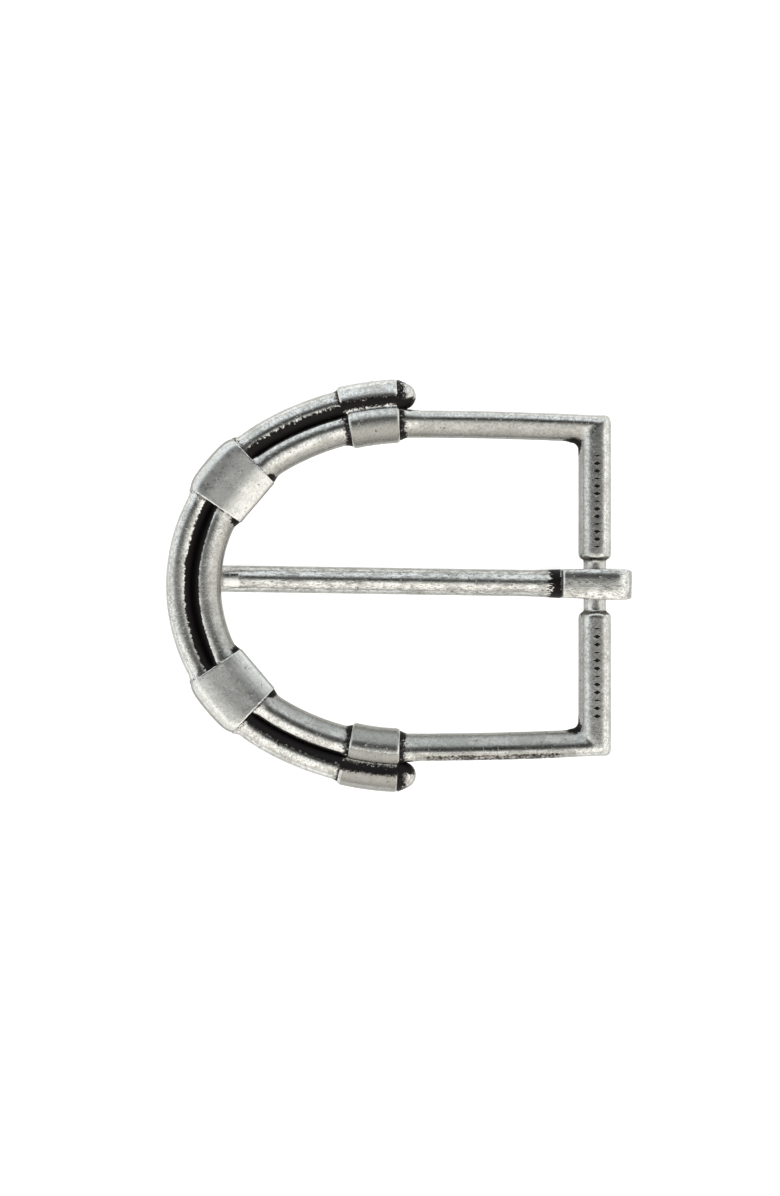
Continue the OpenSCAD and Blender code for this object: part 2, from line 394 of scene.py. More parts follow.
for v in heel.verts:
    v.co.x += 0.2 * max(0.0, v.co.z / bar_r) ** 2
    over = (flat_z - v.co.z) / FILE_SOFT
    v.co.z = flat_z - FILE_SOFT * (over if over > 20 else math.log(1 + math.exp(over)))
    mitre = (abs(v.co.y) - (bar_y - rod_r)) / (2 * rod_r) - (v.co.x + bar_r) / (2 * bar_r)
    if mitre > 0:  # past the mitre line, the bar takes the arm's section
        share = ease(0.0, 0.12, mitre)
        low = math.copysign(min(abs(v.co.z), arm_height(abs(v.co.y))), v.co.z)
        v.co.z += (low - v.co.z) * share
print("flat filed at", round(flat_z, 2), "mm,", sum(v.co.z > flat_z - 0.1 for v in heel.verts), "vertices")

# %% The corner webs
web_r = 0.9
webs = bmesh.new()
for side in (1, -1):
    corner = Vector((-bar_r + 0.3, side * (bar_y - rod_r + 0.3), 0))
    size = web_r + 0.5
    middle = corner + Vector((-size / 2, -side * size / 2, 0))
    place = Matrix.Translation(middle) @ Matrix.Diagonal((size, size, 1.5, 1))
    bmesh.ops.create_cube(webs, size=1.0, matrix=place)
rounds = bmesh.new()
for side in (1, -1):
    middle = Vector((-bar_r - web_r + 0.02, side * (bar_y - rod_r - web_r + 0.02), 0))
    bmesh.ops.create_cone(
        rounds, cap_ends=True, segments=48, radius1=web_r, radius2=web_r, depth=4,
        matrix=Matrix.Translation(middle),
    )
corner_webs = cut_away(as_object(webs, "corner_webs"), as_object(rounds, "web_rounds"))
heel.from_mesh(corner_webs.data)
bpy.data.objects.remove(corner_webs)
heel_mesh = bpy.data.meshes.new("heel")
heel.to_mesh(heel_mesh)
loop.from_mesh(heel_mesh)
heel.free()
frame_casting = pour(as_object(loop, "loop_casting"), 0.163, 5)

# %% [markdown]
# ## Punched marks
# The flat of a heel bar usually carries a maker's stamping. Here a plain row of small
# lozenges is punched instead, a generic pattern that says nothing. Each punch is a
# four-sided cone pressed in point first, and the cut is a true boolean, so the pits are
# real dents with sharp rims.

# %% Punched marks
punches = bmesh.new()
rows = [(4.9, 16.3, 13), (-5.4, -16.4, 12)]
for start, end, count in rows:
    for k in range(count):
        y = start + (end - start) * k / (count - 1)
        long, thin = (0.9, 0.5) if k % 3 else (0.95, 0.2)
        place = Matrix.Translation((0.2, y, flat_z)) @ Matrix.Diagonal((long, thin, 1.0, 1.0))
        bmesh.ops.create_cone(
            punches, cap_ends=True, segments=4, radius1=0.38, radius2=0.7, depth=0.26, matrix=place
        )
cut_away(frame_casting, as_object(punches, "punches"))
print("punched", sum(r[2] for r in rows), "lozenges")

# %% [markdown]
# ## The outer rod
# The second rod lies against the outside of the bow and ends in a rounded stub past each
# end cuff. Its ends were rounded with a file, so the dome is a little slimmer than the rod.
# This rod meets nothing that it should blend into, so its spun mesh is kept as it is.

# %% The outer rod
rail = bmesh.new()
pair_r = shoulder_r + rod_pitch / 2
stub_end = cuff_from - (2.2 - rod_r) / pair_r
rail_reach = shoulder_r + rod_pitch
turn = shoulder_turn - stub_end
first = stand_ring(rail, shoulder_centre, rail_reach, quarter + stub_end, rod_r * 0.97)
ring = bend_round(rail, first, shoulder_centre, rail_reach, turn, 0.28)
ring = bend_round(rail, ring, bow_centre, bow_r + rod_pitch, math.pi - 2 * shoulder_turn, 0.28)
ring = bend_round(rail, ring, Vector((wide_x, -shoulder_y, 0)), rail_reach, turn, 0.28)
out = Vector((math.cos(stub_end), math.sin(stub_end), 0))
dome(rail, first, out, rod_r * 0.95)
dome(rail, ring, Vector((out.x, -out.y, 0)), rod_r * 0.95)
file_section(rail, rod_pitch, (0.14, 0.0), 0.0)
outer_rod = as_object(rail, "outer_rod")
print("outer rod:", len(outer_rod.data.polygons), "faces")

# %% [markdown]
# ## The bow bands
# Each bow band is a strip of metal folded round both rods: a straight inner edge, a bulging
# outer edge, ends that splay outward, a top that is a little hollow, and thin lips at both
# ends. It starts as a box. Bevels round its long edges, cuts give it something to bend, and
# its vertices are then moved as a press would move them. The rods' tunnels are cut last.

# %% A band's blank
BAND_Z = 2.07


def band_blank(name):
    """The pressed band, lying about the X axis with the bow's centre at the origin."""
    bm = bmesh.new()
    middle = (BAND_IN + BAND_OUT) / 2
    deep = BAND_OUT - BAND_IN
    place = Matrix.Translation((middle, 0, 0)) @ Matrix.Diagonal((deep, 2.0, 2 * BAND_Z, 1))
    bmesh.ops.create_cube(bm, size=1.0, matrix=place)
    long_edges = [e for e in bm.edges if abs(e.verts[0].co.y - e.verts[1].co.y) > 1]
    outer = [e for e in long_edges if e.verts[0].co.x > middle]
    inner = [e for e in long_edges if e.verts[0].co.x < middle]
    bmesh.ops.bevel(
        bm, geom=outer, offset=1.8, offset_type="OFFSET", segments=10, profile=0.5,
        affect="EDGES", material=-1, clamp_overlap=True,
    )
    bmesh.ops.bevel(
        bm, geom=inner, offset=0.5, offset_type="OFFSET", segments=5, profile=0.5,
        affect="EDGES", material=-1, clamp_overlap=True,
    )
    lengthways = [e for e in bm.edges if abs(e.verts[0].co.y - e.verts[1].co.y) > 1]
    bmesh.ops.subdivide_edges(bm, edges=lengthways, cuts=23, use_grid_fill=True)
    for k in range(1, 12):
        at = BAND_IN + 0.55 + (deep - 2.4) * k / 12
        bmesh.ops.bisect_plane(
            bm, geom=bm.verts[:] + bm.edges[:] + bm.faces[:], plane_co=(at, 0, 0), plane_no=(1, 0, 0)
        )
    return bm


def press_band(bm):
    """Splays the ends, bulges the outer edge, hollows the top and raises the end lips."""
    for v in bm.verts:
        along = v.co.y  # from -1 at one end to 1 at the other
        t = (v.co.x - BAND_IN) / (BAND_OUT - BAND_IN)
        half = 3.3 + (4.15 - 3.3) * t
        y = along * half
        bulge = BAND_OUT - math.sqrt(BAND_OUT**2 - y**2)
        x = v.co.x - bulge * t**2 * 0.75
        if t > 0.5:
            x -= 0.5 * (t - 0.5) * 2 * abs(along) ** 6
        dip = 0.03 * max(0.0, 1 - (abs(t - 0.6) / 0.3) ** 2) * (1 - along**2)
        away = math.hypot(x, y)  # from the bow's centre
        roll = 0.075 * max(0.0, 19.6 - away) ** 2 + 0.03 * max(0.0, 21.3 - away)
        roll += 0.07 * max(0.0, (min(v.co.x, 22.8) - 21.3) / 1.3) ** 2
        high = abs(v.co.z) - (dip + roll) * min(1, abs(v.co.z) / BAND_Z)
        if abs(v.co.z) > 1.2:  # never lower than the rod it is wrapped round
            skin = (rod_r + 0.08) ** 2 - (away - bow_r) ** 2
            high = max(high, math.sqrt(max(0.0, skin)))
        z = math.copysign(high, v.co.z)
        v.co = (x, y, z)


def tunnel_tools():
    """The two rods, a hair thicker and longer than the band, to cut its tunnels with."""
    bm = bmesh.new()
    for reach in (bow_r, bow_r + rod_pitch):
        ring = stand_ring(bm, Vector(), reach, -0.5, rod_r + 0.01)
        bmesh.ops.contextual_create(bm, geom=ring)
        ring = bend_round(bm, ring, Vector(), reach, 1.0)
        bmesh.ops.contextual_create(bm, geom=ring)
    return as_object(bm, "tunnel_tools")


# %% The two bands
def move_mesh(obj, matrix):
    """Moves an object's mesh, and keeps its faces outward if the move mirrors it."""
    bm = bmesh.new()
    bm.from_mesh(obj.data)
    bmesh.ops.transform(bm, matrix=matrix, verts=bm.verts[:])
    if matrix.determinant() < 0:
        bmesh.ops.recalc_face_normals(bm, faces=bm.faces[:])
    bm.to_mesh(obj.data)
    bm.free()
    return obj


def make_band(name, turn):
    """One finished band, turned to its place on the bow."""
    bm = band_blank(name)
    press_band(bm)
    made = pour(as_object(bm, name), 0.1, 2)
    cut_away(made, tunnel_tools())
    return move_mesh(made, Matrix.Translation(bow_centre) @ Matrix.Rotation(turn, 4, "Z"))


band_upper = make_band("bow_band_upper", math.pi - band_angle)
band_lower = make_band("bow_band_lower", math.pi + band_angle)

# %% [markdown]
# ## The end cuffs
# An end cuff follows the two rods closely, so it has two lobes with a deep valley between
# them. Two rings are bent round the shoulder's centre and a flat strip joins them. The
# remesh then makes one skin of it, and the rods' tunnels are cut before that.

# %% The end cuffs
def lobe(bm, reach, radius, first, last, crest, lip=(0.34, 0.5)):
    """One lobe with rounded ends. Its crest lies a little outward, like the rod's."""
    begun = len(bm.verts)
    steps = [0.0, 0.35, 0.7, 1.05, quarter]
    ring = stand_ring(bm, shoulder_centre, reach, quarter + first, radius - lip[0])
    bmesh.ops.contextual_create(bm, geom=ring)
    for end, turn in ((first, 1), (last, -1)):
        along = Matrix.Rotation(quarter + end, 3, "Z") @ Vector((0, 1, 0))
        tilts = steps if turn == 1 else steps[::-1]
        for a, b in zip(tilts, tilts[1:]):
            size = [radius - lip[0] * (1 - math.sin(k)) for k in (a, b)]
            move = abs(math.cos(a) - math.cos(b)) * lip[1]
            ring = grow(bm, ring, along * move, size[1] / size[0])
        if turn == 1:
            ring = bend_round(bm, ring, shoulder_centre, reach, last - first - 2 * lip[1] / reach, 0.3)
    bmesh.ops.contextual_create(bm, geom=ring)
    bm.verts.ensure_lookup_table()
    for v in bm.verts[begun:]:
        v.co += from_line(v.co)[1] * crest * (v.co.z / radius) ** 2
        v.co.z *= min(1.0, (rod_r + 0.5) / radius)


def make_cuff(name, lower):
    """One end cuff with its tunnels, on the upper side or mirrored to the lower."""
    bm = bmesh.new()
    lobe(bm, shoulder_r + 0.19, rod_r + 0.83, cuff_from, cuff_to, 0.28)
    lobe(bm, rail_reach + 0.2, rod_r + 0.22, cuff_from + 0.004, cuff_to + 0.014, -0.25)
    strip = [shoulder_r + 0.6, rail_reach - 0.6]
    place = (
        Matrix.Translation(shoulder_centre)
        @ Matrix.Rotation(quarter + cuff_from + 0.006, 4, "Z")
        @ Matrix.Translation(((strip[0] + strip[1]) / 2, 0, 0))
        @ Matrix.Rotation(quarter, 4, "X")
        @ Matrix.Diagonal((strip[1] - strip[0], 2.3, 1, 1))
    )
    sheet = bmesh.ops.create_grid(bm, x_segments=1, y_segments=1, size=0.5, matrix=place)
    face = [f for v in sheet["verts"] for f in v.link_faces]
    bmesh.ops.spin(
        bm, geom=list(set(face)), cent=shoulder_centre, axis=(0, 0, 1),
        angle=cuff_to - cuff_from - 0.012, steps=20,
    )
    made = as_object(bm, name)
    tools = bmesh.new()
    for reach in (shoulder_r, rail_reach):
        ring = stand_ring(tools, shoulder_centre, reach, quarter + cuff_from - 0.1, rod_r + 0.03)
        bmesh.ops.contextual_create(tools, geom=ring)
        ring = bend_round(tools, ring, shoulder_centre, reach, cuff_to - cuff_from + 0.2)
        bmesh.ops.contextual_create(tools, geom=ring)
    pour(made, 0.09, 3)
    cut_away(made, as_object(tools, "cuff_tunnels"))
    return move_mesh(made, Matrix.Diagonal((1, -1, 1, 1))) if lower else made


cuff_upper = make_cuff("end_cuff_upper", False)
cuff_lower = make_cuff("end_cuff_lower", True)
print("cuff faces", len(cuff_upper.data.polygons))

# %% [markdown]
# ## The tongue
# The tongue is one bent rod: a straight shank whose tip rests on the bow, flaring into an
# eye that hooks over the neck. Its hook is a rounded block with the bar's hole bored through
# it, a slit where the bent end stops short of the shank, and a shallow seat filed where the
# tip meets the bow.

# %% The tongue's shank
lean = math.radians(0.87)
shift = 0.2
hook_x = -(1.53 + 2.6)
back_x = 1.53 + 3.1
eye_top = 1.53 + 1.75
shank_r = 1.7
eye_z = -(1.53 + 2.05 - 0.75)
seat_z = -(rod_r + 0.05)
seat_x = bow_x - bow_r + rod_r + 2.1
tip_x = rail_lo.x + 2.5
bow_z = seat_z - shank_r + 0.15
fall = (eye_z - bow_z) / (hook_x - seat_x)
shank = bmesh.new()
place = Matrix.Translation((hook_x + 2, 0, eye_z)) @ Matrix.Rotation(-quarter, 4, "Y")
made = bmesh.ops.create_circle(
    shank, cap_ends=False, radius=1.84, segments=RING, matrix=place
)
ring = list({e for v in made["verts"] for e in v.link_edges})
bmesh.ops.contextual_create(shank, geom=ring)
ring = grow(shank, ring, (-2.0, 0, 0), 1.0)
for k in range(8):
    ring = grow(shank, ring, (-0.5, 0, -0.5 * fall), (1.84 - 0.14 * (k + 1) / 8) / (1.84 - 0.14 * k / 8))
run = (hook_x - 4.0) - tip_x - shank_r
for k in range(40):
    ring = grow(shank, ring, (-run / 40, 0, -run / 40 * fall), 1.0)
dome(shank, ring, Vector((-1, 0, -fall)).normalized(), shank_r)
shank_form = as_object(shank, "shank_form")
print("shank falls", round(math.degrees(math.atan(fall)), 2), "degrees")

# %% The tongue's eye
eye = bmesh.new()
eye_bottom = eye_z - 1.95
place = Matrix.Translation(((hook_x + back_x) / 2, 0, (eye_top + eye_bottom) / 2))
place = place @ Matrix.Diagonal((back_x - hook_x, 3.98, eye_top - eye_bottom, 1))
bmesh.ops.create_cube(eye, size=1.0, matrix=place)


def edge_at(bm, x_side, z_side):
    """The edges that run across the eye at one end and at the top or bottom."""
    mid_x, mid_z = (hook_x + back_x) / 2, (eye_top + eye_bottom) / 2
    return [
        e for e in bm.edges
        if all((v.co.x - mid_x) * x_side > 0.1 and (v.co.z - mid_z) * z_side > 0.1 for v in e.verts)
    ]


for x_side, z_side, radius in ((1, 1, 2.1), (1, -1, 2.2), (-1, 1, 0.3), (-1, -1, 0.5)):
    bmesh.ops.bevel(
        eye, geom=edge_at(eye, x_side, z_side), offset=radius, segments=8, profile=0.5,
        affect="EDGES", material=-1, clamp_overlap=True, offset_type="OFFSET",
    )
for v in eye.verts:  # the back is rounded in plan as well
    past = max(0.0, v.co.x - (back_x - 1.1)) / 1.1
    v.co.y *= 1 - 0.14 * past**3
rims = [e for e in eye.edges if abs(e.verts[0].co.y - e.verts[1].co.y) < 0.01]
bmesh.ops.bevel(
    eye, geom=rims, offset=0.85, segments=6, profile=0.5, affect="EDGES", material=-1,
    clamp_overlap=True, offset_type="OFFSET",
)
lengthways = [e for e in eye.edges if abs(e.verts[0].co.y - e.verts[1].co.y) > 1]
bmesh.ops.subdivide_edges(eye, edges=lengthways, cuts=9, use_grid_fill=True)
for v in eye.verts:  # narrower toward the hook's end, and crowned across
    v.co.y *= 1 - 0.085 * min(1.0, max(0.0, (1.0 - v.co.x) / (1.0 - hook_x)))
    crown = 0.40 * abs(v.co.y / 2) ** 3.3
    v.co.z -= crown * math.copysign(1, v.co.z) - (0.045 * v.co.y - 0.09 if v.co.z > 1 else 0)
print("eye block:", len(eye.faces), "faces")

# %% Join, bore, slit and seat
eye_mesh = bpy.data.meshes.new("eye")
bmesh.ops.recalc_face_normals(eye, faces=eye.faces[:])
eye.to_mesh(eye_mesh)
eye.free()
tongue_form = bmesh.new()
tongue_form.from_mesh(shank_form.data)
tongue_form.from_mesh(eye_mesh)
bpy.data.objects.remove(shank_form)
rest = Matrix.Translation((0, shift, 0)) @ Matrix.Rotation(-lean, 4, "Z")
bmesh.ops.transform(tongue_form, matrix=rest, verts=tongue_form.verts[:])
tongue = pour(as_object(tongue_form, "tongue_bar"), 0.12, 3)
tools = bmesh.new()
bmesh.ops.create_cone(
    tools, cap_ends=True, segments=96, radius1=1.53, radius2=1.53, depth=12,
    matrix=Matrix.Rotation(quarter, 4, "X"),
)
bore_tool = as_object(tools, "bore_tool")
tools = bmesh.new()
slit_low = eye_z + shank_r + 0.02
place = Matrix.Translation((hook_x / 2 - 0.5, 0, slit_low + 0.35))
bmesh.ops.create_cube(
    tools, size=1.0, matrix=place @ Matrix.Diagonal((1 - hook_x, 9, 0.7, 1))
)
slit_tool = as_object(tools, "slit_tool")
tools = bmesh.new()
place = Matrix.Translation((seat_x, 0, seat_z - 0.17)) @ Matrix.Rotation(math.radians(6.5), 4, "X")
place = place @ Matrix.Translation(((tip_x - seat_x - 4) / 2, 0, 1.5))
bmesh.ops.create_cube(
    tools, size=1.0, matrix=place @ Matrix.Diagonal((seat_x - tip_x + 4, 9, 3, 1))
)
seat_tool = as_object(tools, "seat_tool")
cut_away(tongue, bore_tool, slit_tool, seat_tool)
print("tongue:", len(tongue.data.polygons), "faces")

# %% [markdown]
# ## Where black stays and where metal shines
# The finish depends on the shape. Blackening stays where a polishing wheel can't reach, so
# each vertex gets a number for how shut in it is: rays are sent out, and the share that
# hits metal nearby is kept. Edges and crests shine, so each vertex also gets its convexity.
# Both are stored as attributes, and the materials read them. Each vertex also gets how steep
# its face is and how far outward it lies, which the materials use to paint shade on steep
# flanks and on faces that look into the buckle. The rays come from a seeded, evenly spread
# set, so each run gives the same finish.

# %% Measure the recesses
def ray_fan(count):
    """Directions spread evenly over the upper half sphere, denser toward the pole."""
    fan = []
    for k in range(count):
        u = (k + 0.5) / count
        spin = k * 2.399963
        fan.append(Vector((math.sqrt(u) * math.cos(spin), math.sqrt(u) * math.sin(spin), math.sqrt(1 - u))))
    return fan


FAN = ray_fan(20)
REACH = 5.0


def shut_in(obj, tree):
    """For each vertex, the share of rays that meet metal, counted more the nearer it is."""
    shares = []
    for v in obj.data.vertices:
        n = v.normal
        side = n.orthogonal().normalized()
        other = n.cross(side)
        start = v.co + n * 0.02
        blocked = 0.0
        for d in FAN:
            way = side * d.x + other * d.y + n * d.z
            far = tree.ray_cast(start, way, REACH)[3]
            if far is not None:
                blocked += 1.0 - (far / REACH) ** 2
        shares.append(blocked / len(FAN))
    return shares


def soften(obj, values, rounds):
    """Averages each vertex's value with its neighbours', over a few rounds."""
    edges = [tuple(e.vertices) for e in obj.data.edges]
    for _ in range(rounds):
        total = list(values)
        count = [1] * len(values)
        for a, b in edges:
            total[a] += values[b]
            total[b] += values[a]
            count[a] += 1
            count[b] += 1
        values = [t / c for t, c in zip(total, count)]
    return values


def convexity(obj):
    """For each vertex, how sharply the surface bends away from it, per millimetre."""
    sums = [0.0] * len(obj.data.vertices)
    counts = [0] * len(sums)
    verts = obj.data.vertices
    for e in obj.data.edges:
        a, b = e.vertices
        step = verts[a].co - verts[b].co
        far = max(step.length_squared, 1e-6)
        sums[a] += 2 * step.dot(verts[a].normal) / far
        sums[b] -= 2 * step.dot(verts[b].normal) / far
        counts[a] += 1
        counts[b] += 1
    return [s / max(c, 1) for s, c in zip(sums, counts)]


def store(obj, name, values):
    """Keeps one number a vertex, for the material to read."""
    layer = obj.data.attributes.new(name, "FLOAT", "POINT")
    layer.data.foreach_set("value", values)


# %% Store the finish
def groove_depth(p):
    """Millimetres inside the blackened groove between the rods, negative outside it."""
    t = from_line(p)[0] - rod_pitch / 2
    spread = opened(p)
    inner = -0.74 * (1 - spread) + 0.02 * spread
    outer = 1.12 * (1 - spread) + 1.5 * spread
    return min(t - inner, outer - t, (wide_x + 1.4 - p.x) * 0.6) * (1.8 - 0.8 * spread)


def crevice(p):
    """0 to 1: how near a corner that the wheel can't reach."""
    t = from_line(p)[0] - rod_pitch / 2
    by_band = ease(1.4, 0.1, past_band(p))
    by_band *= max(ease(-2.2, -3.1, t), 0.6 * ease(0.8, 1.2, t), 0.25)
    by_band = max(by_band, 0.55 * ease(0.4, 0.05, past_band(p)))
    by_cuff = ease(1.9, 0.2, past_cuff(p)) * max(0.75, ease(-2.0, -3.0, t))
    edge = Vector((-bar_r - 0.35, bar_y - rod_r - 0.1, -0.4))
    by_corner = 1.1 * ease(2.5, 0.9, (Vector((p.x, abs(p.y), p.z)) - edge).length)
    by_neck = 0.6 * ease(0.4, 0.05, abs(abs(p.y) - neck_half)) if abs(p.x) < bar_r + 0.3 else 0.0
    in_mark = p.z > 1 and p.z < flat_z - 0.06 and abs(p.x - 0.2) < 0.72 and 4 < abs(p.y) < 17.2
    low_arm = 0.62 * ease(-0.95, -0.65, t) if p.y < 0 else 0.0  # the lower arm's outside is blackened as well
    low_arm *= ease(wide_x + 1, wide_x + 3, p.x) * ease(-2.5, -5, p.x)
    if p.x > -6:
        return max(by_corner, by_neck, low_arm, 1.5 if in_mark else 0.0)
    return max(by_band, by_cuff, low_arm)


# The material paints shade from this value: faces that look into the buckle get a darker plate.
def outward_of(p):
    """Outward of the pair's middle line, and on the heel bar outward of its axis."""
    t = from_line(p)[0] - rod_pitch / 2
    on_cuff = past_cuff(p) < 0.1
    if p.y < 0 and t > -1.0 and (on_cuff or -2.5 > p.x > wide_x + 1):
        return -2.8  # the outside of the lower cuff and arm gets the darker plate too
    if p.y > 0 and on_cuff:
        return t - 0.8
    t -= 0.9 * ease(wide_x, wide_x + 4, p.x)  # painted shade: the arms' inner flanks get the darkest plate
    return max(t, p.x * 0.8 - 1.15)


def cuff_valley(p):
    t = from_line(p)[0] - rod_pitch / 2
    return min(t - 0.66, 1.82 - t)


def behind_hook(p):
    """Millimetres inside the black patch on the shank, behind the hook's end."""
    return min(1.5 - (hook_x - p.x), (hook_x - 0.05 - p.x) * 4)


fixed = [frame_casting, outer_rod, band_upper, band_lower, cuff_upper, cuff_lower]
joined = bmesh.new()
for obj in fixed:
    joined.from_mesh(obj.data)
frame_tree = BVHTree.FromBMesh(joined)
joined.free()
tongue_tree = BVHTree.FromObject(tongue, bpy.context.evaluated_depsgraph_get())
black_rule = {
    "loop_casting": groove_depth, "outer_rod": groove_depth, "tongue_bar": behind_hook,
    "end_cuff_upper": cuff_valley, "end_cuff_lower": cuff_valley,
}
for obj in fixed + [tongue]:
    points = [v.co.copy() for v in obj.data.vertices]
    tree = tongue_tree if obj is tongue else frame_tree
    recess = soften(obj, shut_in(obj, tree), 2)
    store(obj, "recess", recess)
    store(obj, "crest", soften(obj, convexity(obj), 2))
    # flank, how steep each face is, drives the painted shade on steep flanks
    store(obj, "flank", [1 - abs(v.normal.z) for v in obj.data.vertices])
    rule = black_rule.get(obj.name)
    store(obj, "groove", [rule(p) if rule else -5.0 for p in points])
    rods = obj in (frame_casting, outer_rod)
    store(obj, "crevice", [crevice(p) if rods else 0.0 for p in points])
    store(obj, "outward", [0.0 if obj is tongue else outward_of(p) for p in points])
    print(obj.name, len(points), "vertices, recess up to", round(max(recess), 2))

# %% [markdown]
# ## Materials as sums
# A material is a net of nodes, and most of them are plain arithmetic. Here a small class
# wraps a socket, so that Python's own signs add the Math nodes. Any other node comes from
# one method that takes its type, its settings and its sockets.

# %% A socket that can do sums
class Value:
    """One output socket of a node tree. Sums on it add Math nodes."""

    def __init__(self, net, socket):
        self.net, self.socket = net, socket

    def _sum(self, operation, first, second=None, third=None):
        parts = {k: p for k, p in enumerate((first, second, third)) if p is not None}
        return self.net.node("ShaderNodeMath", {"operation": operation}, parts)

    def __add__(self, other):
        return self._sum("ADD", self, other)

    def __radd__(self, other):
        return self._sum("ADD", other, self)

    def __sub__(self, other):
        return self._sum("SUBTRACT", self, other)

    def __rsub__(self, other):
        return self._sum("SUBTRACT", other, self)

    def __mul__(self, other):
        return self._sum("MULTIPLY", self, other)

    def __rmul__(self, other):
        return self._sum("MULTIPLY", other, self)

    def __truediv__(self, other):
        return self._sum("DIVIDE", self, other)

    def __pow__(self, other):
        return self._sum("POWER", self, other)

    def clamped(self):
        return self._sum("MINIMUM", self._sum("MAXIMUM", self, 0.0), 1.0)


class Net:
    """The node tree of one material or of the world."""

    def __init__(self, owner):
        owner.use_nodes = True
        self.owner, self.tree = owner, owner.node_tree
        self.tree.nodes.clear()

    def node(self, kind, settings=None, sockets=None, out=0):
        """Adds a node: settings first, then sockets by name or number, then one output."""
        made = self.tree.nodes.new(kind)
        for name, value in (settings or {}).items():
            if name == "stops":
                for k, (at, colour) in enumerate(value):
                    stop = made.color_ramp.elements[k] if k < 2 else made.color_ramp.elements.new(at)
                    stop.position, stop.color = at, colour
            else:
                setattr(made, name, value)
        for name, value in (sockets or {}).items():
            if isinstance(value, Value):
                self.tree.links.new(value.socket, made.inputs[name])
            else:
                made.inputs[name].default_value = value
        return Value(self, made.outputs[out]) if len(made.outputs) else made

    def ramp(self, value, low, high):
        """0 below low, 1 above high, smooth between. low may be the larger."""
        return self.node(
            "ShaderNodeMapRange", {"interpolation_type": "SMOOTHSTEP"},
            {"Value": value, "From Min": low, "From Max": high, "To Min": 0.0, "To Max": 1.0},
        )

    def blend(self, share, first, second):
        """A colour between two colours."""
        return self.node(
            "ShaderNodeMix", {"data_type": "RGBA"}, {0: share, 6: first, 7: second}, out=2
        )

    def speckle(self, place, size, detail=3.0, rough=0.6, warp=0.0):
        """Noise whose spots are about that many millimetres across."""
        return self.node(
            "ShaderNodeTexNoise", {"noise_dimensions": "3D"},
            {"Vector": place, "Scale": 1.0 / size, "Detail": detail, "Roughness": rough, "Distortion": warp},
        )

    def attribute(self, name):
        return self.node("ShaderNodeAttribute", {"attribute_name": name}, out="Fac")


# %% [markdown]
# ## Antique silver
# Rubbed silver plate has four layers. The plate is bright but never even, with a fine
# mottle a fifth of a millimetre across. Small pits and nicks hold black. Recesses are
# black with a ragged, speckled border, brown at its thinnest. Edges and crests are polished
# brighter and smoother than the rest. On top of these, painted shade darkens the plate on
# steep flanks and on faces that look into the buckle. Bump adds the grain and the soft
# unevenness of tumbled metal. All patterns read Object coordinates in millimetres.

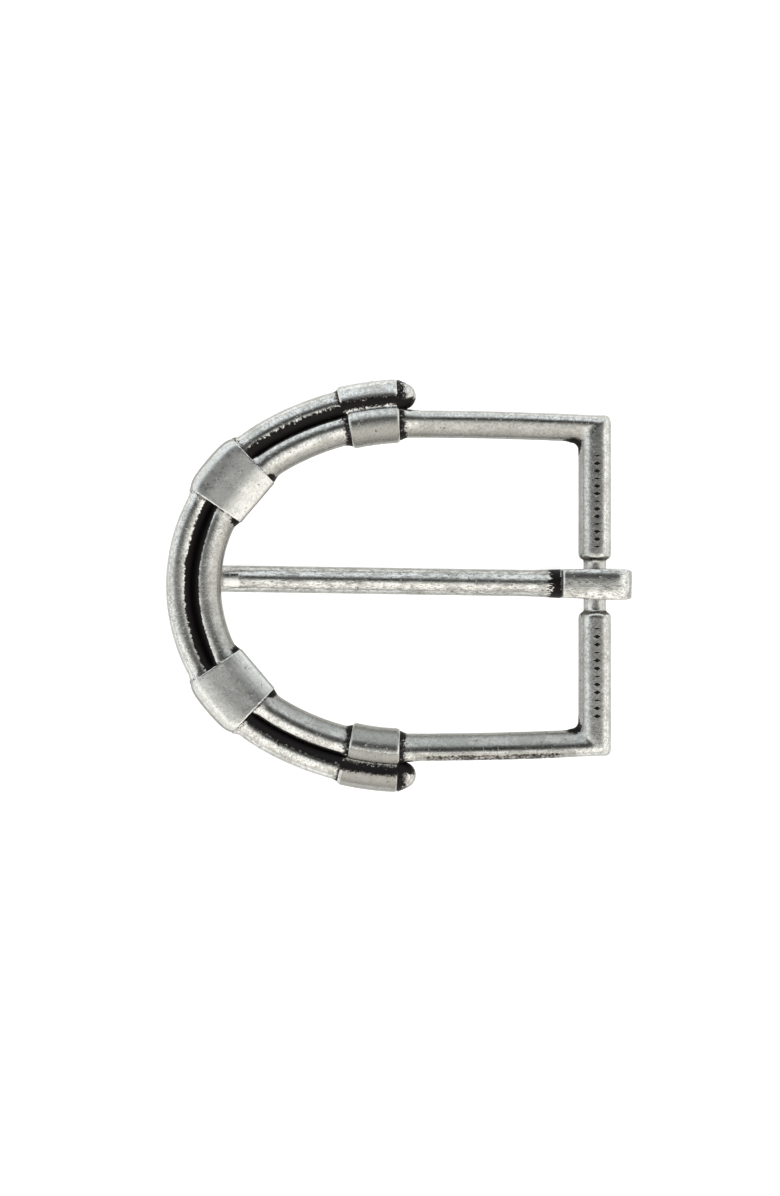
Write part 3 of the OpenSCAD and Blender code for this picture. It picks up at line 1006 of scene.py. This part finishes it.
# %% The silver finish
def antique_silver(name, black_from, black_to, streak=(1, 1, 1), jag=0.5, flank_painted_shade=0.6, inside=0.66, matt=0.0,
                   dulling=1.0, soil=0.45):
    """A silver finish. black_from and black_to are the recess values where black starts and is full."""
    metal = bpy.data.materials.new(name)
    net = Net(metal)
    here = net.node("ShaderNodeTexCoord", out="Object")
    here = net.node("ShaderNodeVectorMath", {"operation": "SCALE"}, {0: here, "Scale": 1000.0})
    drawn = net.node("ShaderNodeVectorMath", {"operation": "MULTIPLY"}, {0: here, 1: streak})

    cloud = net.speckle(here, 2.4, 2.0)
    mottle = net.speckle(drawn, 0.42, 4.0, 0.7, 0.4)
    grain = net.speckle(drawn, 0.17, 3.0, 0.65)
    nicks = net.speckle(here, 0.5, 2.0, 0.5, 1.0)

    recess = net.attribute("recess")
    crest = net.attribute("crest")
    flank = net.attribute("flank")
    outward = net.attribute("outward")
    ragged = (mottle - 0.5) * 0.34 + (grain - 0.5) * 0.26 + (cloud - 0.5) * 0.12
    black = net.ramp(recess + ragged, black_from, black_to)
    trench = net.ramp(net.attribute("groove") + ragged * jag * 3.2, -0.2, 0.16)
    corner = net.ramp(net.attribute("crevice") + ragged * 3.0, 0.34, 0.86) * 0.94
    black = net.node("ShaderNodeMath", {"operation": "MAXIMUM"}, {0: black, 1: trench})
    black = net.node("ShaderNodeMath", {"operation": "MAXIMUM"}, {0: black, 1: corner})
    pits = net.ramp(nicks, 0.645, 0.70) * net.ramp(grain, 0.46, 0.56)
    shine = net.ramp(crest, 0.9, 2.2) * (1.0 - black)

    dull = net.ramp(mottle * 0.6 + cloud * 0.4, 0.40, 0.60)
    # painted shade: inner darkens the plate on faces that look into the buckle, where flanks mirror the shaded
    # floor; inside sets how much
    inner = net.ramp(outward, -1.7, -2.6)
    plate = net.blend(dull * dulling, (0.93, 0.93, 0.91, 1), (0.62, 0.615, 0.585, 1))
    plate = net.blend(inner * inside, plate, (0.36, 0.355, 0.33, 1))
    plate = net.blend(net.ramp(grain, 0.52, 0.66) * soil, plate, (0.25, 0.24, 0.225, 1))
    plate = net.blend(net.ramp(mottle, 0.50, 0.64) * soil * 0.5, plate, (0.28, 0.27, 0.25, 1))
    plate = net.blend(shine * 0.8, plate, (0.95, 0.95, 0.93, 1))
    # painted shade: steep flanks get a darker plate, by how far each face turns from upright
    side = net.ramp(flank, 0.16, 0.55)
    plate = net.blend(side * (flank_painted_shade + inner * 0.05), plate, (0.14, 0.135, 0.12, 1))
    plate = net.blend(pits * 0.75, plate, (0.07, 0.065, 0.06, 1))
    tarnish = net.ramp(black, 0.02, 0.4) * net.ramp(black, 0.98, 0.5)
    plate = net.blend(tarnish * 0.5, plate, (0.24, 0.19, 0.155, 1))
    solid = net.ramp(black, 0.25, 0.75)
    colour = net.blend(solid, plate, (0.010, 0.008, 0.008, 1))

    rough = 0.14 + matt + dull * 0.10 + grain * 0.06 + pits * 0.2 - shine * 0.05 + solid * 0.3
    metallic = 1.0 - solid * 0.8

    wave = net.speckle(here, 1.6, 2.0, 0.5)
    height = wave * 0.036 + mottle * 0.017 + grain * 0.007 - pits * 0.02
    bump = net.node(
        "ShaderNodeBump", None, {"Strength": 0.7, "Distance": 0.001, "Height": height}, out="Normal"
    )
    shader = net.node(
        "ShaderNodeBsdfPrincipled", None,
        {"Base Color": colour, "Roughness": rough, "Metallic": metallic, "Normal": bump,
         "Specular IOR Level": 0.2},
    )
    net.node("ShaderNodeOutputMaterial", None, {"Surface": shader})
    return metal


# inside sets each finish's painted shade on faces that look into the buckle, and the flank setting sets its
# painted shade on steep flanks
loop_silver = antique_silver("loop_silver", 0.60, 0.75)
rail_silver = antique_silver("rail_silver", 0.55, 0.7, jag=1.3)
wrap_silver = antique_silver("wrap_silver", 0.60, 0.75, inside=0.0, matt=0.09, dulling=0.3, soil=0.4, flank_painted_shade=0.85)
cuff_silver = antique_silver("cuff_silver", 0.68, 0.82, jag=1.3, inside=0.9, matt=0.02, flank_painted_shade=0.5)
tongue_silver = antique_silver(
    "tongue_silver", 0.60, 0.75, streak=(0.35, 1, 1), jag=2.6, flank_painted_shade=0.7, soil=0.9, matt=0.03
)
print("materials", [m.name for m in (loop_silver, rail_silver, wrap_silver, cuff_silver, tongue_silver)])

# %% [markdown]
# ## Hand the pieces to the frame
# Each piece is scaled from millimetres to metres in its mesh, rides on its body, takes the
# place of its CAD node, which is hidden, and gets its material.

# %% Place the pieces
def hand_over(obj, body, node, material):
    """Scales the mesh to metres, shades it smooth, gives it its material, parents it to its body and hides its
    CAD node.
    """
    move_mesh(obj, Matrix.Scale(0.001, 4))
    obj.data.polygons.foreach_set("use_smooth", [True] * len(obj.data.polygons))
    obj.data.set_sharp_from_angle(angle=math.radians(38))
    obj.data.materials.clear()
    obj.data.materials.append(material)
    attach(obj, body)
    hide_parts(node)
    print(obj.name, "stands for", node, "with", len(obj.data.polygons), "faces")


hand_over(frame_casting, "frame", "frame_loop", loop_silver)
hand_over(outer_rod, "frame", "outer_rail", rail_silver)
hand_over(band_upper, "frame", "band_upper", wrap_silver)
hand_over(band_lower, "frame", "band_lower", wrap_silver)
hand_over(cuff_upper, "frame", "cuff_upper", cuff_silver)
hand_over(cuff_lower, "frame", "cuff_lower", cuff_silver)
hand_over(tongue, "tongue", "tongue", tongue_silver)

# %% [markdown]
# ## Table and light
# Metal shows what is round it, so the light is most of the look. The buckle lies on a white
# sweep inside a white tent. One side of the tent is left open toward the far left corner,
# which draws the dark line beside each crest, and the near side is brighter and warmer. All
# of that is one smooth world sky, which reads only the direction looked in.

# %% The table
sweep = bmesh.new()
floor_z = tongue_lo.z - 0.05
bmesh.ops.create_grid(
    sweep, x_segments=2, y_segments=2, size=600, matrix=Matrix.Translation((0, 0, floor_z))
)
table = as_object(sweep, "table")
move_mesh(table, Matrix.Scale(0.001, 4))
paper = bpy.data.materials.new("white_paper")
net = Net(paper)
shader = net.node(
    "ShaderNodeBsdfPrincipled", None,
    {"Base Color": (0.9, 0.9, 0.9, 1), "Roughness": 0.9,
     "Emission Color": (1, 1, 1, 1), "Emission Strength": 0.66},
)
net.node("ShaderNodeOutputMaterial", None, {"Surface": shader})
table.data.materials.append(paper)
print("table at", round(floor_z, 2), "mm")

# %% The tent of light
sky = bpy.data.worlds.new("white_tent")
bpy.context.scene.world = sky
net = Net(sky)
look = net.node("ShaderNodeTexCoord", out="Generated")


def toward(direction, seen=None):
    """How far the direction looked in agrees with this one, from -1 to 1."""
    sockets = {0: seen or look, 1: direction}
    return net.node("ShaderNodeVectorMath", {"operation": "DOT_PRODUCT"}, sockets, out="Value")


hole = math.radians(12)
squeezed = net.node("ShaderNodeVectorMath", {"operation": "MULTIPLY"}, {0: look, 1: (0.42, 1, 1)})
squeezed = net.node("ShaderNodeVectorMath", {"operation": "NORMALIZE"}, {0: squeezed})
off_hole = net.node("ShaderNodeMath", {"operation": "ARCCOSINE"}, {0: toward((0, math.sin(hole), math.cos(hole)), squeezed)})
glow = [(0, 0.03), (7, 0.04), (12, 0.12), (17, 0.44), (23, 0.82), (32, 1.04), (48, 1.08), (60, 1.02), (74, 0.84), (90, 0.64), (180, 0.52)]
glow = sorted(glow[:1] + glow[-1:]) + glow[1:-1]
tent = net.node(
    "ShaderNodeValToRGB",
    {"stops": [(degrees / 180, (v, v, v, 1)) for degrees, v in glow]},
    {"Fac": off_hole / math.pi},
)
tint = net.blend(
    net.ramp(toward((-0.35, 0.94, 0)), -0.8, 0.8), (1.14, 1.115, 1.05, 1), (0.80, 0.85, 0.87, 1)
)
tent = net.node("ShaderNodeVectorMath", {"operation": "MULTIPLY"}, {0: tent, 1: tint})
light = net.node("ShaderNodeBackground", None, {"Color": tent, "Strength": 1.0})
net.node("ShaderNodeOutputWorld", None, {"Surface": light})
bpy.context.scene.view_settings.view_transform = "Standard"
print("tent lit")
